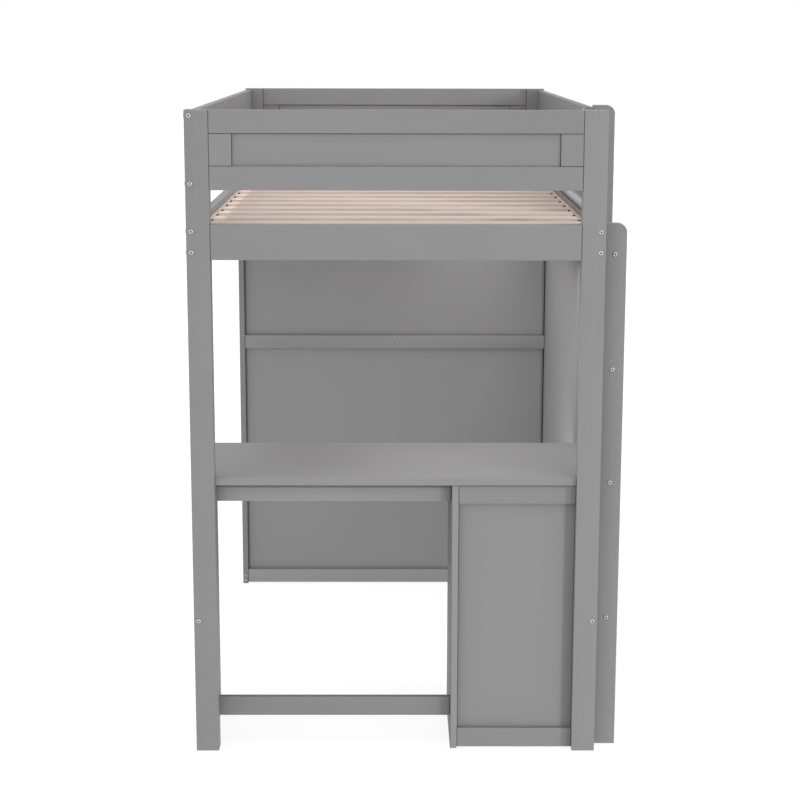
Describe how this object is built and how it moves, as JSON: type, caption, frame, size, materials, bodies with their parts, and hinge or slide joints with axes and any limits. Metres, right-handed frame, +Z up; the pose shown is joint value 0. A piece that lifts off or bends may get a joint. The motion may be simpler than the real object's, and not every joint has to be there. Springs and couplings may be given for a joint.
{
  "type": "loft bed with desk",
  "caption": "High single bed on four posts with guards and an upright side ladder, over a desk with a door pedestal and a two-door storage cabinet.",
  "frame": {"origin": "on the floor, under the middle of the outer box, ladder and door knobs included", "axes": "+Z up; +Y along the bed from the desk end to the cabinet end; +X across the bed, towards the ladder side"},
  "size_m": [1.12, 2.035, 1.69],
  "materials": {
    "painted_wood": "satin grey paint on pine, with faint grain",
    "painted_board": "satin grey paint on smooth fibreboard",
    "bare_pine": "planed, unpainted pine",
    "satin_metal": "satin nickel"
  },
  "bodies": {
    "bed_and_desk": {"post_near_left": "painted_wood", "post_near_right": "painted_wood", "post_far_left": "painted_wood", "post_far_right": "painted_wood", "end_rail_near": "painted_wood", "end_rail_far": "painted_wood", "side_rail_left": "painted_wood", "side_rail_right": "painted_wood", "end_guard_near_frame": "painted_wood", "end_guard_far_frame": "painted_wood", "side_guard_left": "painted_wood", "side_guard_right": "painted_wood", "ladder_stile_near": "painted_wood", "ladder_stile_far": "painted_wood", "ladder_tread_1": "painted_wood", "ladder_tread_2": "painted_wood", "ladder_tread_3": "painted_wood", "ladder_tread_4": "painted_wood", "desk_apron": "painted_wood", "desk_stretcher": "painted_wood", "pedestal_back_top_rail": "painted_wood", "pedestal_back_bottom_rail": "painted_wood", "cabinet_back_mid_rail": "painted_wood", "cabinet_back_bottom_rail": "painted_wood", "end_guard_near_panel": "painted_board", "end_guard_far_panel": "painted_board", "desk_top": "painted_board", "desk_side_left": "painted_board", "pedestal_side_left": "painted_board", "pedestal_side_right": "painted_board", "pedestal_back_panel": "painted_board", "pedestal_floor": "painted_board", "cabinet_side_left": "painted_board", "cabinet_back_panel": "painted_board", "cabinet_floor": "painted_board", "cabinet_shelf": "painted_board", "cabinet_top": "painted_board", "side_panel_right": "painted_board", "slat_ledger_left": "bare_pine", "slat_ledger_right": "bare_pine", "slat_01": "bare_pine", "slat_02": "bare_pine", "slat_03": "bare_pine", "slat_04": "bare_pine", "slat_05": "bare_pine", "slat_06": "bare_pine", "slat_07": "bare_pine", "slat_08": "bare_pine", "slat_09": "bare_pine", "slat_10": "bare_pine", "slat_11": "bare_pine", "slat_12": "bare_pine", "slat_13": "bare_pine", "slat_14": "bare_pine"},
    "pedestal_door": {"pedestal_door": "painted_board", "pedestal_door_knob": "satin_metal"},
    "cabinet_door_left": {"cabinet_door_left": "painted_board", "cabinet_door_knob_left": "satin_metal"},
    "cabinet_door_right": {"cabinet_door_right": "painted_board", "cabinet_door_knob_right": "satin_metal"}
  },
  "joints": [
    {"name": "pedestal_door_hinge", "type": "hinge", "parent": "bed_and_desk", "child": "pedestal_door", "pos_m": [0.475, -0.7005, 0.39], "axis": [0, 0, -1], "range_deg": [0, 85]},
    {"name": "cabinet_door_left_hinge", "type": "hinge", "parent": "bed_and_desk", "child": "cabinet_door_left", "pos_m": [-0.5, 0.9925, 0.66], "axis": [0, 0, 1], "range_deg": [0, 110]},
    {"name": "cabinet_door_right_hinge", "type": "hinge", "parent": "bed_and_desk", "child": "cabinet_door_right", "pos_m": [0.44, 0.9925, 0.66], "axis": [0, 0, -1], "range_deg": [0, 110]}
  ]
}
